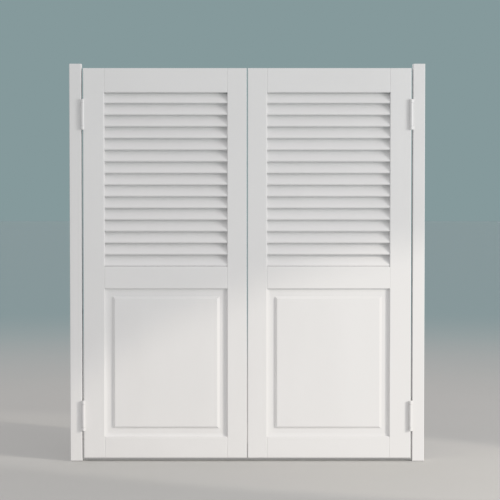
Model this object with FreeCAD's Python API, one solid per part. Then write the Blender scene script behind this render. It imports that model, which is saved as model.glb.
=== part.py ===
import FreeCAD, Part

import math
import os

# Cafe swinging doors: a pair of louvre-over-panel leaves, each hung from a wall strip on two
# double-acting spring hinges.
#
# Frame: millimetres, +Z up, +X to the right seen from the front, +Y to the rear.
# The origin is midway between the leaves, in the middle of their thickness, level with the
# bottom of the wall strips. The left half is modelled, and the right half is its mirror image.

# ---------------------------------------------------------------- leaves
LEAF_WIDTH = 414.0
LEAF_HEIGHT = 990.0
LEAF_THICKNESS = 28.0
MEETING_GAP = 3.0
HINGE_STILE_WIDTH = 53.5
MEETING_STILE_WIDTH = 49.0
BOTTOM_RAIL_HEIGHT = 54.5
PANEL_OPENING_HEIGHT = 377.0
MID_RAIL_HEIGHT = 56.5
TOP_RAIL_HEIGHT = 61.5
ARRIS_RADIUS = 1.5  # outer edges of the leaves
STICKING_RADIUS = 2.0  # edges around the louvres and the panel
SHOULDER_CHAMFER = 1.0  # both sides of the joints between rails and stiles

# ---------------------------------------------------------------- stub tenons of the rails
TENON_THICKNESS = 9.0
TENON_LENGTH = 28.0
TENON_SHOULDER = 12.0  # from a rail's edge to its tenon
TENON_SIDE_CLEARANCE = 0.1
TENON_END_CLEARANCE = 1.5

# ---------------------------------------------------------------- louvre slats
SLAT_PITCH = 29.5
SLAT_WIDTH = 40.0
SLAT_THICKNESS = 6.0
SLAT_ANGLE = 56.0  # above the horizontal, front edge low
SLAT_HOUSING_DEPTH = 7.0
SLAT_SIDE_CLEARANCE = 0.1
SLAT_END_CLEARANCE = 0.3
SLAT_RAIL_CLEARANCE = 0.3  # under the lowest slat

# ---------------------------------------------------------------- raised panel
PANEL_MARGIN_WIDTH = 20.0
PANEL_COVE_WIDTH = 9.0  # the hollow that starts the margin, beside the frame
PANEL_BEVEL_WIDTH = 5.2  # between the margin and the field
PANEL_FIELD_SETBACK = 2.0  # the field lies this far behind the leaf's face
PANEL_STEP = 5.3  # from the flat of the margin up to the field
PANEL_TONGUE_THICKNESS = 16.0
PANEL_TONGUE_DEPTH = 7.0
PANEL_GROOVE_DEPTH = 9.0
PANEL_SIDE_CLEARANCE = 0.2

# ---------------------------------------------------------------- wall strips
STRIP_WIDTH = 30.0
STRIP_DEPTH = 28.0
STRIP_ABOVE_LEAF = 11.0
STRIP_BELOW_LEAF = 8.0
STRIP_HOLE_RADIUS = 2.5
STRIP_COUNTERSINK_RADIUS = 5.0
STRIP_HOLE_END_DISTANCE = 54.5  # from a strip's end to its nearest wall hole
STRIP_INNER_HOLE_SPACING = 300.0

# ---------------------------------------------------------------- spring hinges
HINGE_GAP = 4.5  # between a strip and its leaf
HINGE_HEIGHT = 76.0
HINGE_BOTTOM_SETBACK = 108.0  # from the leaf's bottom to the middle of the lower hinge
HINGE_TOP_SETBACK = 117.0  # from the leaf's top to the middle of the upper hinge
PLATE_THICKNESS = 1.6
PLATE_WIDTH = 24.0
PLATE_EDGE_CLEARANCE = 0.15
BARREL_RADIUS = 4.0
BARREL_WALL = 1.0
BARREL_CLEARANCE = 0.3  # between a barrel and the wood behind it
KNUCKLE_LENGTH = 8.5
KNUCKLE_GAP = 0.3
PIN_RADIUS = 1.5
PIN_KNUCKLE_CLEARANCE = 0.02
PIN_BUSH_CLEARANCE = 0.05
PIN_HEAD_RADIUS = 3.0
PIN_HEAD_HEIGHT = 1.2
BUSH_LENGTH = 5.0
BUSH_BARREL_CLEARANCE = 0.02
SPRING_BARREL_CLEARANCE = 0.3
SPRING_PIN_CLEARANCE = 0.35
SPRING_END_CLEARANCE = 0.3
SPRING_LEG_WIDTH = 0.8
SPRING_LEG_CLEARANCE = 0.15

# ---------------------------------------------------------------- countersunk wood screws
SCREW_SHANK_RADIUS = 1.75
SCREW_LENGTH = 18.0
SCREW_TIP_LENGTH = 4.0
SCREW_END_DISTANCE = 13.0  # from a plate's end to the middle of its nearest screw
SCREW_STAGGER = 4.0
SCREW_CLEARANCE = 0.05

# ---------------------------------------------------------------- places worked out from the sizes
CUT_MARGIN = 1.0  # how far a cutting body runs past the surface that it cuts
FRONT = -LEAF_THICKNESS / 2
REAR = LEAF_THICKNESS / 2
LEAF_LEFT = -(MEETING_GAP / 2 + LEAF_WIDTH)
LEAF_RIGHT = -MEETING_GAP / 2
LEAF_BOTTOM = STRIP_BELOW_LEAF
LEAF_TOP = LEAF_BOTTOM + LEAF_HEIGHT
STRIP_RIGHT = LEAF_LEFT - HINGE_GAP
STRIP_LEFT = STRIP_RIGHT - STRIP_WIDTH
STRIP_TOP = LEAF_TOP + STRIP_ABOVE_LEAF
OPENING_LEFT = LEAF_LEFT + HINGE_STILE_WIDTH
OPENING_RIGHT = LEAF_RIGHT - MEETING_STILE_WIDTH
PANEL_BOTTOM = LEAF_BOTTOM + BOTTOM_RAIL_HEIGHT
PANEL_TOP = PANEL_BOTTOM + PANEL_OPENING_HEIGHT
LOUVRE_BOTTOM = PANEL_TOP + MID_RAIL_HEIGHT
LOUVRE_TOP = LEAF_TOP - TOP_RAIL_HEIGHT
RAIL_SPANS = {
    "bottom_rail": (LEAF_BOTTOM, PANEL_BOTTOM),
    "mid_rail": (PANEL_TOP, LOUVRE_BOTTOM),
    "top_rail": (LOUVRE_TOP, LEAF_TOP),
}
BARREL_X = STRIP_RIGHT + BARREL_RADIUS
FRONT_BARREL_Y = FRONT - BARREL_CLEARANCE - BARREL_RADIUS
REAR_BARREL_Y = REAR + BARREL_CLEARANCE + BARREL_RADIUS
BORE_RADIUS = BARREL_RADIUS - BARREL_WALL
TUBE_HALF = HINGE_HEIGHT / 2 - KNUCKLE_LENGTH - KNUCKLE_GAP
HINGE_LEVELS = (LEAF_BOTTOM + HINGE_BOTTOM_SETBACK, LEAF_TOP - HINGE_TOP_SETBACK)
SCREW_HEAD_RADIUS = SCREW_SHANK_RADIUS + PLATE_THICKNESS
SCREW_SPREAD = HINGE_HEIGHT / 2 - SCREW_END_DISTANCE  # from the middle screw to the outer ones


# ---------------------------------------------------------------- shape helpers
def block(x0, x1, y0, y1, z0, z1):
    """A box between two corners."""
    corner = FreeCAD.Vector(x0, y0, z0)
    return Part.makeBox(x1 - x0, y1 - y0, z1 - z0, corner)


def upright_rod(x, y, z0, z1, radius):
    """A cylinder that stands on z0 and reaches z1."""
    return Part.makeCylinder(radius, z1 - z0, FreeCAD.Vector(x, y, z0))


def prism(points, run):
    """A polygon carried along a vector."""
    corners = [FreeCAD.Vector(*point) for point in points]
    outline = Part.makePolygon(corners + corners[:1])
    return Part.Face(outline).extrude(FreeCAD.Vector(*run))


def turned(profile, place, axis):
    """A solid of revolution. The profile is a list of (radius, height) points, and its height runs along axis."""
    points = [FreeCAD.Vector(radius, 0, height) for radius, height in profile]
    outline = Part.makePolygon(points + points[:1])
    solid = Part.Face(outline).revolve(FreeCAD.Vector(), FreeCAD.Vector(0, 0, 1), 360)
    solid.Placement = FreeCAD.Placement(
        FreeCAD.Vector(*place), FreeCAD.Rotation(FreeCAD.Vector(0, 0, 1), FreeCAD.Vector(*axis))
    )
    return solid


def rounded(solid, radius, wanted):
    """Rounds each straight edge whose middle passes the test."""
    edges = [edge for edge in solid.Edges if wanted(edge)]
    return solid.makeFillet(radius, edges)


def along(edge, axis):
    """Whether an edge runs along one of the axes x, y or z."""
    start, end = (vertex.Point for vertex in edge.Vertexes)
    return abs(getattr(end - start, axis)) > 0.999 * edge.Length


def middle(edge):
    return edge.BoundBox.Center


def near(value, target):
    return abs(value - target) < 0.01


def mirrored(shape):
    """The same piece on the right-hand side."""
    return shape.mirror(FreeCAD.Vector(), FreeCAD.Vector(1, 0, 0))


# ---------------------------------------------------------------- louvre slats
def slat_section(level, clearance):
    """A slat's cross-section, with round edges, whose lowest point is at level, grown by a clearance."""
    angle = math.radians(SLAT_ANGLE)
    radius = SLAT_THICKNESS / 2 + clearance
    half_run = (SLAT_WIDTH - SLAT_THICKNESS) / 2
    rise = FreeCAD.Vector(0, math.cos(angle), math.sin(angle))
    normal = FreeCAD.Vector(0, -math.sin(angle), math.cos(angle))
    centre = FreeCAD.Vector(0, 0, level + SLAT_THICKNESS / 2 + half_run * math.sin(angle))
    low = centre - rise * half_run
    high = centre + rise * half_run
    outline = Part.Wire(
        [
            Part.makeLine(low + normal * radius, high + normal * radius),
            Part.Arc(high + normal * radius, high + rise * radius, high - normal * radius).toShape(),
            Part.makeLine(high - normal * radius, low - normal * radius),
            Part.Arc(low - normal * radius, low - rise * radius, low + normal * radius).toShape(),
        ]
    )
    return Part.Face(outline)


def slat_body(level, x0, x1, clearance=0.0):
    """A slat from x0 to x1, planed off level where it would run into the top rail."""
    section = slat_section(level, clearance)
    section.translate(FreeCAD.Vector(x0, 0, 0))
    solid = section.extrude(FreeCAD.Vector(x1 - x0, 0, 0))
    if solid.BoundBox.ZMax <= LOUVRE_TOP:
        return solid
    waste = block(
        x0 - CUT_MARGIN, x1 + CUT_MARGIN, FRONT, REAR, LOUVRE_TOP, solid.BoundBox.ZMax + CUT_MARGIN
    )
    return solid.cut(waste)


def slat_levels():
    """The lowest point of each slat, from the mid rail up."""
    first = LOUVRE_BOTTOM + SLAT_RAIL_CLEARANCE
    room = LOUVRE_TOP - first - SLAT_WIDTH / 2
    return [first + SLAT_PITCH * index for index in range(int(room / SLAT_PITCH) + 1)]


def slats():
    reach = SLAT_HOUSING_DEPTH - SLAT_END_CLEARANCE
    return [slat_body(level, OPENING_LEFT - reach, OPENING_RIGHT + reach) for level in slat_levels()]


# ---------------------------------------------------------------- raised panel
def margin_cutter(place, run, side):
    """What a cutter takes off one edge of one face of the panel: a hollow that runs out tangent to the
    flat of the margin, then the bevel. place turns a distance in from the panel's edge and a depth
    into a point, and side is -1 for the front face and 1 for the rear."""
    tongue = side * PANEL_TONGUE_THICKNESS / 2
    field = side * (LEAF_THICKNESS / 2 - PANEL_FIELD_SETBACK)
    foot = field - side * PANEL_STEP
    outside = field + side * CUT_MARGIN
    start = PANEL_TONGUE_DEPTH
    flat = start + PANEL_COVE_WIDTH
    end = start + PANEL_MARGIN_WIDTH
    radius = (PANEL_COVE_WIDTH**2 + (tongue - foot) ** 2) / (2 * (tongue - foot))
    turn = math.asin(PANEL_COVE_WIDTH / radius) / 2
    bend = place(flat - radius * math.sin(turn), foot + radius * (1 - math.cos(turn)))
    cove = Part.Arc(place(start, tongue), bend, place(flat, foot)).toShape()
    slope = (outside - foot) / (field - foot)
    rest = Part.makePolygon(
        [
            place(flat, foot),
            place(end, foot),
            place(end + slope * PANEL_BEVEL_WIDTH, outside),
            place(-CUT_MARGIN, outside),
            place(-CUT_MARGIN, tongue),
            place(start, tongue),
        ]
    )
    return Part.Face(Part.Wire([cove] + rest.Edges)).extrude(run)


def raised_panel():
    """The panel with its field raised on both faces and its tongue all round."""
    left = OPENING_LEFT - PANEL_TONGUE_DEPTH
    right = OPENING_RIGHT + PANEL_TONGUE_DEPTH
    bottom = PANEL_BOTTOM - PANEL_TONGUE_DEPTH
    top = PANEL_TOP + PANEL_TONGUE_DEPTH
    field = LEAF_THICKNESS / 2 - PANEL_FIELD_SETBACK
    across = FreeCAD.Vector(right - left, 0, 0)
    upward = FreeCAD.Vector(0, 0, top - bottom)
    edges = (
        (lambda inward, y: FreeCAD.Vector(left, y, bottom + inward), across),
        (lambda inward, y: FreeCAD.Vector(left, y, top - inward), across),
        (lambda inward, y: FreeCAD.Vector(left + inward, y, bottom), upward),
        (lambda inward, y: FreeCAD.Vector(right - inward, y, bottom), upward),
    )
    cutters = [margin_cutter(place, run, side) for place, run in edges for side in (-1, 1)]
    return block(left, right, -field, field, bottom, top).cut(cutters)


# ---------------------------------------------------------------- rails
def tenon(rail, x0, x1, clearance):
    """A rail's tenon or, with a clearance, the mortise for it."""
    bottom, top = RAIL_SPANS[rail]
    half = TENON_THICKNESS / 2 + clearance
    low = bottom + TENON_SHOULDER - clearance
    high = top - TENON_SHOULDER + clearance
    return block(x0, x1, -half, half, low, high)


def panel_groove(x0, x1, z0, z1):
    half = PANEL_TONGUE_THICKNESS / 2 + PANEL_SIDE_CLEARANCE
    return block(x0, x1, -half, half, z0, z1)


def is_shoulder(edge):
    """Whether an edge is a rail's upright end edge, on its front or rear face."""
    return abs(edge.BoundBox.YLength) < 0.01 and edge.BoundBox.XLength < 0.01


def rail(name):
    """A rail with its rounded edges, its chamfered ends, its tenons and, next to the panel, its groove."""
    bottom, top = RAIL_SPANS[name]
    body = block(OPENING_LEFT, OPENING_RIGHT, FRONT, REAR, bottom, top)
    for level in (bottom, top):
        outer = near(level, LEAF_BOTTOM) or near(level, LEAF_TOP)
        radius = ARRIS_RADIUS if outer else STICKING_RADIUS
        body = rounded(body, radius, lambda edge: along(edge, "x") and near(middle(edge).z, level))
    shoulders = [edge for edge in body.Edges if is_shoulder(edge)]
    body = body.makeChamfer(SHOULDER_CHAMFER, shoulders)
    body = body.fuse(tenon(name, OPENING_LEFT - TENON_LENGTH, OPENING_RIGHT + TENON_LENGTH, 0.0))
    if near(top, PANEL_BOTTOM):
        return body.cut(
            panel_groove(OPENING_LEFT, OPENING_RIGHT, top - PANEL_GROOVE_DEPTH, top + CUT_MARGIN)
        )
    if near(bottom, PANEL_TOP):
        return body.cut(
            panel_groove(OPENING_LEFT, OPENING_RIGHT, bottom - CUT_MARGIN, bottom + PANEL_GROOVE_DEPTH)
        )
    return body


# ---------------------------------------------------------------- stiles
def sticking_cutter(x, y, inward, z0, z1):
    """What rounding takes off an upright edge at (x, y). inward is the sign of x into the wood."""
    outward = 1 if y > 0 else -1
    radius = STICKING_RADIUS
    bend = radius * (1 - math.sqrt(0.5))
    on_side = FreeCAD.Vector(x, y - outward * radius, z0)
    on_bend = FreeCAD.Vector(x + inward * bend, y - outward * bend, z0)
    on_face = FreeCAD.Vector(x + inward * radius, y, z0)
    clear_x = x - inward * CUT_MARGIN
    clear_y = y + outward * CUT_MARGIN
    rest = Part.makePolygon(
        [
            on_face,
            FreeCAD.Vector(on_face.x, clear_y, z0),
            FreeCAD.Vector(clear_x, clear_y, z0),
            FreeCAD.Vector(clear_x, on_side.y, z0),
            on_side,
        ]
    )
    bend_edge = Part.Arc(on_side, on_bend, on_face).toShape()
    return Part.Face(Part.Wire([bend_edge] + rest.Edges)).extrude(FreeCAD.Vector(0, 0, z1 - z0))


def shoulder_cutter(x, y, inward, z0, z1):
    """What a chamfer takes off an upright edge at (x, y). inward is the sign of x into the wood."""
    outward = 1 if y > 0 else -1
    side = x - inward * CUT_MARGIN
    face = y + outward * CUT_MARGIN
    leg = SHOULDER_CHAMFER + 2 * CUT_MARGIN
    corners = [(side, face, z0), (side + inward * leg, face, z0), (side, face - outward * leg, z0)]
    return prism(corners, (0, 0, z1 - z0))


def stile(outer, inner):
    """A stile between its outer and inner edge, with its rounded edges, housings, groove and mortises."""
    inward = 1 if outer > inner else -1
    body = block(min(outer, inner), max(outer, inner), FRONT, REAR, LEAF_BOTTOM, LEAF_TOP)
    body = rounded(
        body,
        ARRIS_RADIUS,
        lambda edge: (along(edge, "z") and near(middle(edge).x, outer)) or along(edge, "x"),
    )

    def reach(depth):
        """The span from clear of the inner edge to a depth in the wood."""
        return sorted((inner - inward * CUT_MARGIN, inner + inward * depth))

    cutters = [
        sticking_cutter(inner, y, inward, z0, z1)
        for y in (FRONT, REAR)
        for z0, z1 in ((PANEL_BOTTOM, PANEL_TOP), (LOUVRE_BOTTOM, LOUVRE_TOP))
    ]
    cutters += [
        shoulder_cutter(inner, y, inward, *span) for y in (FRONT, REAR) for span in RAIL_SPANS.values()
    ]
    cutters.append(
        panel_groove(
            *reach(PANEL_GROOVE_DEPTH), PANEL_BOTTOM - PANEL_GROOVE_DEPTH, PANEL_TOP + PANEL_GROOVE_DEPTH
        )
    )
    for name in RAIL_SPANS:
        cutters.append(tenon(name, *reach(TENON_LENGTH + TENON_END_CLEARANCE), TENON_SIDE_CLEARANCE))
    for level in slat_levels():
        cutters.append(slat_body(level, *reach(SLAT_HOUSING_DEPTH), SLAT_SIDE_CLEARANCE))
    return body.cut(cutters)


# ---------------------------------------------------------------- countersunk screws
def screw_places(plate_middle, level):
    """The (y, z) of a plate's three screws, the middle one staggered."""
    return [
        (plate_middle - SCREW_STAGGER / 2, level - SCREW_SPREAD),
        (plate_middle + SCREW_STAGGER / 2, level),
        (plate_middle - SCREW_STAGGER / 2, level + SCREW_SPREAD),
    ]


def screw(face, into, y, z, clearance=0.0):
    """A countersunk screw driven from a plate's face, into the wood along the sign of x, or its hole."""
    shank = SCREW_SHANK_RADIUS + clearance
    head = SCREW_HEAD_RADIUS + clearance
    profile = [
        (0, -clearance),
        (head, -clearance),
        (shank, PLATE_THICKNESS - clearance),
        (shank, SCREW_LENGTH - SCREW_TIP_LENGTH + clearance),
        (0, SCREW_LENGTH + clearance),
    ]
    return turned(profile, (face, y, z), (into, 0, 0))


def pilot_hole(face, into, y, z):
    """The blind hole that one screw's shank and tip take in the wood."""
    radius = SCREW_SHANK_RADIUS + SCREW_CLEARANCE
    depth = SCREW_LENGTH + SCREW_CLEARANCE
    return Part.makeCylinder(radius, depth, FreeCAD.Vector(face, y, z), FreeCAD.Vector(into, 0, 0))


# ---------------------------------------------------------------- double-acting spring hinges
def plate(face, into, y0, y1, level, clearance=0.0):
    """A hinge plate let in flush with a wooden edge, or, with a clearance, the recess for it."""
    back = face + into * PLATE_THICKNESS
    half = HINGE_HEIGHT / 2 + clearance
    return block(
        min(face, back), max(face, back), y0 - clearance, y1 + clearance, level - half, level + half
    )


def knuckle_spans(level):
    """The bottom and top of the two short knuckles of one plate."""
    half = HINGE_HEIGHT / 2
    return (
        (level - half, level - half + KNUCKLE_LENGTH),
        (level + half - KNUCKLE_LENGTH, level + half),
    )


def hinge_plate(face, into, wood_y, barrel_y, far_y, level):
    """A plate with its screw holes and two knuckles, whose necks are cranked to the barrel's side."""
    body = plate(face, into, min(wood_y, far_y), max(wood_y, far_y), level)
    back = face + into * PLATE_THICKNESS
    neck_back = BARREL_X + into * BARREL_RADIUS
    neck_face = neck_back - into * PLATE_THICKNESS
    for z0, z1 in knuckle_spans(level):
        neck = prism(
            [(face, wood_y, z0), (back, wood_y, z0), (neck_back, barrel_y, z0), (neck_face, barrel_y, z0)],
            (0, 0, z1 - z0),
        )
        ring = upright_rod(BARREL_X, barrel_y, z0, z1, BARREL_RADIUS)
        body = body.fuse([neck, ring])
    bore = upright_rod(
        BARREL_X, barrel_y, level - HINGE_HEIGHT, level + HINGE_HEIGHT, PIN_RADIUS + PIN_KNUCKLE_CLEARANCE
    )
    holes = [screw(face, into, y, z, SCREW_CLEARANCE) for y, z in screw_places((wood_y + far_y) / 2, level)]
    return body.cut([bore] + holes).removeSplitter()


def jamb_plate(level):
    return hinge_plate(STRIP_RIGHT, -1, FRONT, FRONT_BARREL_Y, FRONT + PLATE_WIDTH, level)


def leaf_plate(level):
    return hinge_plate(LEAF_LEFT, 1, REAR, REAR_BARREL_Y, REAR - PLATE_WIDTH, level)


def spring_leg(y, level, clearance):
    """The leg that a spring turns out through the barrel's wall, or the slot for it."""
    half = SPRING_LEG_WIDTH / 2 + clearance
    top = level + TUBE_HALF - BUSH_LENGTH - SPRING_END_CLEARANCE
    inner = BARREL_X + PIN_RADIUS + SPRING_PIN_CLEARANCE + SPRING_LEG_WIDTH / 2
    outer = BARREL_X + BARREL_RADIUS + clearance
    return block(inner, outer, y - half, y + half, top - SPRING_LEG_WIDTH - clearance, top + clearance)


def hinge_web(level):
    """The plate in the hinge gap, with the long front and rear barrels that it carries."""
    low = level - TUBE_HALF
    high = level + TUBE_HALF
    gap_middle = STRIP_RIGHT + HINGE_GAP / 2
    half = PLATE_THICKNESS / 2
    body = block(gap_middle - half, gap_middle + half, FRONT_BARREL_Y, REAR_BARREL_Y, low, high)
    rows = (FRONT_BARREL_Y, REAR_BARREL_Y)
    body = body.fuse([upright_rod(BARREL_X, y, low, high, BARREL_RADIUS) for y in rows])
    bores = [upright_rod(BARREL_X, y, low - CUT_MARGIN, high + CUT_MARGIN, BORE_RADIUS) for y in rows]
    slots = [spring_leg(y, level, SPRING_LEG_CLEARANCE) for y in rows]
    return body.cut(bores + slots).removeSplitter()


def bush(y, end, level):
    """A bush in one end of a barrel. end is -1 for the lower one and 1 for the upper."""
    mouth = level + end * TUBE_HALF
    seat = mouth - end * BUSH_LENGTH
    low, high = sorted((mouth, seat))
    body = upright_rod(BARREL_X, y, low, high, BORE_RADIUS - BUSH_BARREL_CLEARANCE)
    bore = upright_rod(
        BARREL_X, y, low - CUT_MARGIN, high + CUT_MARGIN, PIN_RADIUS + PIN_BUSH_CLEARANCE
    )
    return body.cut(bore)


def spring(y, level):
    """A closely wound spring, as a sleeve of its inner and outer diameter, with the leg it turns out."""
    half = TUBE_HALF - BUSH_LENGTH - SPRING_END_CLEARANCE
    coil = upright_rod(BARREL_X, y, level - half, level + half, BORE_RADIUS - SPRING_BARREL_CLEARANCE)
    hollow = upright_rod(
        BARREL_X, y, level - TUBE_HALF, level + TUBE_HALF, PIN_RADIUS + SPRING_PIN_CLEARANCE
    )
    return coil.fuse(spring_leg(y, level, 0.0)).cut(hollow).removeSplitter()


def hinge_pin(y, level):
    """A pin through one barrel, with a low domed head at each end."""
    half = HINGE_HEIGHT / 2
    shank = upright_rod(BARREL_X, y, level - half, level + half, PIN_RADIUS)
    ball_radius = (PIN_HEAD_RADIUS**2 + PIN_HEAD_HEIGHT**2) / (2 * PIN_HEAD_HEIGHT)
    for end in (-1, 1):
        ball_z = level + end * (half + PIN_HEAD_HEIGHT - ball_radius)
        ball = Part.makeSphere(ball_radius, FreeCAD.Vector(BARREL_X, y, ball_z))
        low, high = sorted((level + end * half, level + end * (half + PIN_HEAD_HEIGHT)))
        shank = shank.fuse(ball.common(upright_rod(BARREL_X, y, low, high, PIN_HEAD_RADIUS)))
    return shank.removeSplitter()


def plate_seats(face, into, wood_y, far_y):
    """The recesses and pilot holes that a wooden edge needs for its two hinge plates."""
    cutters = []
    for level in HINGE_LEVELS:
        y0, y1 = sorted((wood_y, far_y))
        recess = plate(face, into, y0, y1, level, PLATE_EDGE_CLEARANCE)
        cutters.append(recess)
        for y, z in screw_places((wood_y + far_y) / 2, level):
            cutters.append(pilot_hole(face, into, y, z))
    return cutters


# ---------------------------------------------------------------- wall strips
def wall_strip():
    """A strip with rounded edges, seats for its jamb plates and countersunk holes to the wall."""
    body = block(STRIP_LEFT, STRIP_RIGHT, -STRIP_DEPTH / 2, STRIP_DEPTH / 2, 0, STRIP_TOP)
    body = rounded(body, ARRIS_RADIUS, lambda edge: along(edge, "z") or along(edge, "x"))
    half_turn = STRIP_COUNTERSINK_RADIUS - STRIP_HOLE_RADIUS
    hole = [
        (0, -CUT_MARGIN),
        (STRIP_COUNTERSINK_RADIUS, -CUT_MARGIN),
        (STRIP_COUNTERSINK_RADIUS, 0),
        (STRIP_HOLE_RADIUS, half_turn),
        (STRIP_HOLE_RADIUS, STRIP_WIDTH + CUT_MARGIN),
        (0, STRIP_WIDTH + CUT_MARGIN),
    ]
    cutters = plate_seats(STRIP_RIGHT, -1, FRONT, FRONT + PLATE_WIDTH)
    outer_hole_spacing = STRIP_TOP - 2 * STRIP_HOLE_END_DISTANCE
    for spacing in (outer_hole_spacing, STRIP_INNER_HOLE_SPACING):
        for end in (-1, 1):
            level = STRIP_TOP / 2 + end * spacing / 2
            cutters.append(turned(hole, (STRIP_RIGHT, 0, level), (-1, 0, 0)))
    return body.cut(cutters)


# ---------------------------------------------------------------- assembly
def left_half():
    """Every node of the left half, by its name without the side."""
    hinge_stile = stile(LEAF_LEFT, OPENING_LEFT)
    nodes = {
        "wall_strip": wall_strip(),
        "hinge_stile": hinge_stile.cut(plate_seats(LEAF_LEFT, 1, REAR, REAR - PLATE_WIDTH)),
        "meeting_stile": stile(LEAF_RIGHT, OPENING_RIGHT),
        "raised_panel": raised_panel(),
    }
    for name in RAIL_SPANS:
        nodes[name] = rail(name)
    for index, shape in enumerate(slats(), start=1):
        nodes[f"louvre_slat_{index:02d}"] = shape
    rows = (FRONT_BARREL_Y, REAR_BARREL_Y)
    jamb_middle = FRONT + PLATE_WIDTH / 2
    leaf_middle = REAR - PLATE_WIDTH / 2
    groups = {
        "jamb_plates": [jamb_plate(level) for level in HINGE_LEVELS],
        "leaf_plates": [leaf_plate(level) for level in HINGE_LEVELS],
        "hinge_webs": [hinge_web(level) for level in HINGE_LEVELS],
        "hinge_springs": [spring(y, level) for level in HINGE_LEVELS for y in rows],
        "hinge_bushes": [bush(y, end, level) for level in HINGE_LEVELS for y in rows for end in (-1, 1)],
        "front_pins": [hinge_pin(FRONT_BARREL_Y, level) for level in HINGE_LEVELS],
        "rear_pins": [hinge_pin(REAR_BARREL_Y, level) for level in HINGE_LEVELS],
        "jamb_plate_screws": [
            screw(STRIP_RIGHT, -1, y, z)
            for level in HINGE_LEVELS
            for y, z in screw_places(jamb_middle, level)
        ],
        "leaf_plate_screws": [
            screw(LEAF_LEFT, 1, y, z)
            for level in HINGE_LEVELS
            for y, z in screw_places(leaf_middle, level)
        ],
    }
    nodes.update({name: Part.makeCompound(solids) for name, solids in groups.items()})
    return nodes


BOTH_SIDES = ("front_pins", "jamb_plate_screws")  # one node for the whole object


def main():
    os.makedirs("parts", exist_ok=True)
    for name, shape in left_half().items():
        if name in BOTH_SIDES:
            Part.makeCompound([shape, mirrored(shape)]).exportStep(f"parts/{name}.step")
        else:
            shape.exportStep(f"parts/left_{name}.step")
            mirrored(shape).exportStep(f"parts/right_{name}.step")


main()
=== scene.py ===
import math
from itertools import product

import bpy
import numpy as np
from bpy.props import FloatProperty, FloatVectorProperty, IntProperty, PointerProperty
from bpy.types import Operator, Panel, PropertyGroup
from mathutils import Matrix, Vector


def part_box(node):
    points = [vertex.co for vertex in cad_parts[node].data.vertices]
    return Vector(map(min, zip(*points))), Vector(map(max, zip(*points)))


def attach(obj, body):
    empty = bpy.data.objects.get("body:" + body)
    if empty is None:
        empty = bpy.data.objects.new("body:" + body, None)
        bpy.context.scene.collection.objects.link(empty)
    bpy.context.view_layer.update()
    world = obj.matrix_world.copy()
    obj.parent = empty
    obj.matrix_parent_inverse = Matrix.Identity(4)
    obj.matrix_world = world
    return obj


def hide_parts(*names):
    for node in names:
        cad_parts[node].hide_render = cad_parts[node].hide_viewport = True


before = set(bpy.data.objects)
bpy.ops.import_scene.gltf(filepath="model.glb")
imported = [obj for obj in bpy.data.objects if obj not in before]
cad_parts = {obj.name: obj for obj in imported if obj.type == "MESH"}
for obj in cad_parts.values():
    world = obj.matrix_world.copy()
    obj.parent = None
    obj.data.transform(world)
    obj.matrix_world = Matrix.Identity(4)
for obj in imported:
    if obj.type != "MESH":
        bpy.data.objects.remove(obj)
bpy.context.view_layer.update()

# Finish and studio for a pair of louvred cafe doors hung between two wall strips.
# Metres, +Z up, +X to the right seen from the front, +Y to the rear.

bl_info = {
    "name": "Cafe swinging doors",
    "version": (1, 0, 0),
    "blender": (4, 5, 0),
    "location": "3D View > Sidebar > Cafe Doors",
    "description": "Louvre slats, raised panels, hinge hardware, paint and a studio for cafe doors",
    "category": "Object",
}

SIDES = ("left", "right")
MM = 0.001

# ---------------------------------------------------------------- measures of the solids, in metres
HINGE_LEVELS = (0.116, 0.881)  # middles of the lower and the upper hinges
KNUCKLE_JOINT = 29.35 * MM  # from a hinge's middle to the joint between its web and a knuckle
BARREL_X = 0.416  # axes of the barrels, to either side
BARREL_Y = 0.0183  # axes of the barrels, to the front and the rear
JAMB_SEAT_X = 0.42  # faces of the plates let into the strips
LEAF_SEAT_X = 0.4155  # faces of the plates let into the leaves
PLATE_MIDDLE_Y = 2.0 * MM  # a plate's middle from the wood's: to the front in strips, the rear in leaves
SCREW_SPREAD = 25.0 * MM  # from a plate's middle screw to its outer ones
SCREW_STAGGER = 2.0 * MM  # from a plate's middle to each screw, by turns to the rear and the front

# ---------------------------------------------------------------- finishes
Z_ALONG_X = (0.0, math.radians(90.0), 0.0)  # turns a pattern so that its Z runs along a rail or slat
DUST_TONE = (0.50, 0.47, 0.42, 1.0)
TARNISH_TONE = (0.16, 0.15, 0.14, 1.0)
BARE_STEEL_TONE = (0.36, 0.36, 0.37, 1.0)

# ---------------------------------------------------------------- lights, with places in metres
FILL_TINT = (1.0, 0.98, 0.985, 1.0)
KEY_TINT = (1.0, 0.99, 0.975)
KEY_SIZE = 1.4
KEY_PLACE = (3.6, -2.2, 1.1)
KEY_TARGET = (0.0, 0.0, 0.4)
BEAM_TINT = (1.0, 0.915, 0.81)
BEAM_ANGLE = math.radians(12.0)
BEAM_BLEND = 0.25
BEAM_RADIUS = 0.06
BEAM_PLACE = (4.2, -2.3, 1.85)
BEAM_TARGET = (0.22, 0.0, 0.0)


# ---------------------------------------------------------------- settings
def length(label, description, millimetres, soft_max=0.1):
    """A length property, given in millimetres and kept in metres."""
    return FloatProperty(
        name=label,
        description=description,
        default=millimetres * MM,
        min=0.0,
        soft_max=soft_max,
        precision=5,
        unit="LENGTH",
    )


def colour(label, description, rgb):
    """A colour property."""
    return FloatVectorProperty(
        name=label, description=description, default=rgb, min=0.0, max=1.0, size=3, subtype="COLOR"
    )


def share(label, description, value):
    """A plain number from 0 to 1."""
    return FloatProperty(
        name=label, description=description, default=value, min=0.0, max=1.0, subtype="FACTOR"
    )


def power(label, description, watts):
    """The power of a light."""
    return FloatProperty(name=label, description=description, default=watts, min=0.0, unit="POWER")


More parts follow.
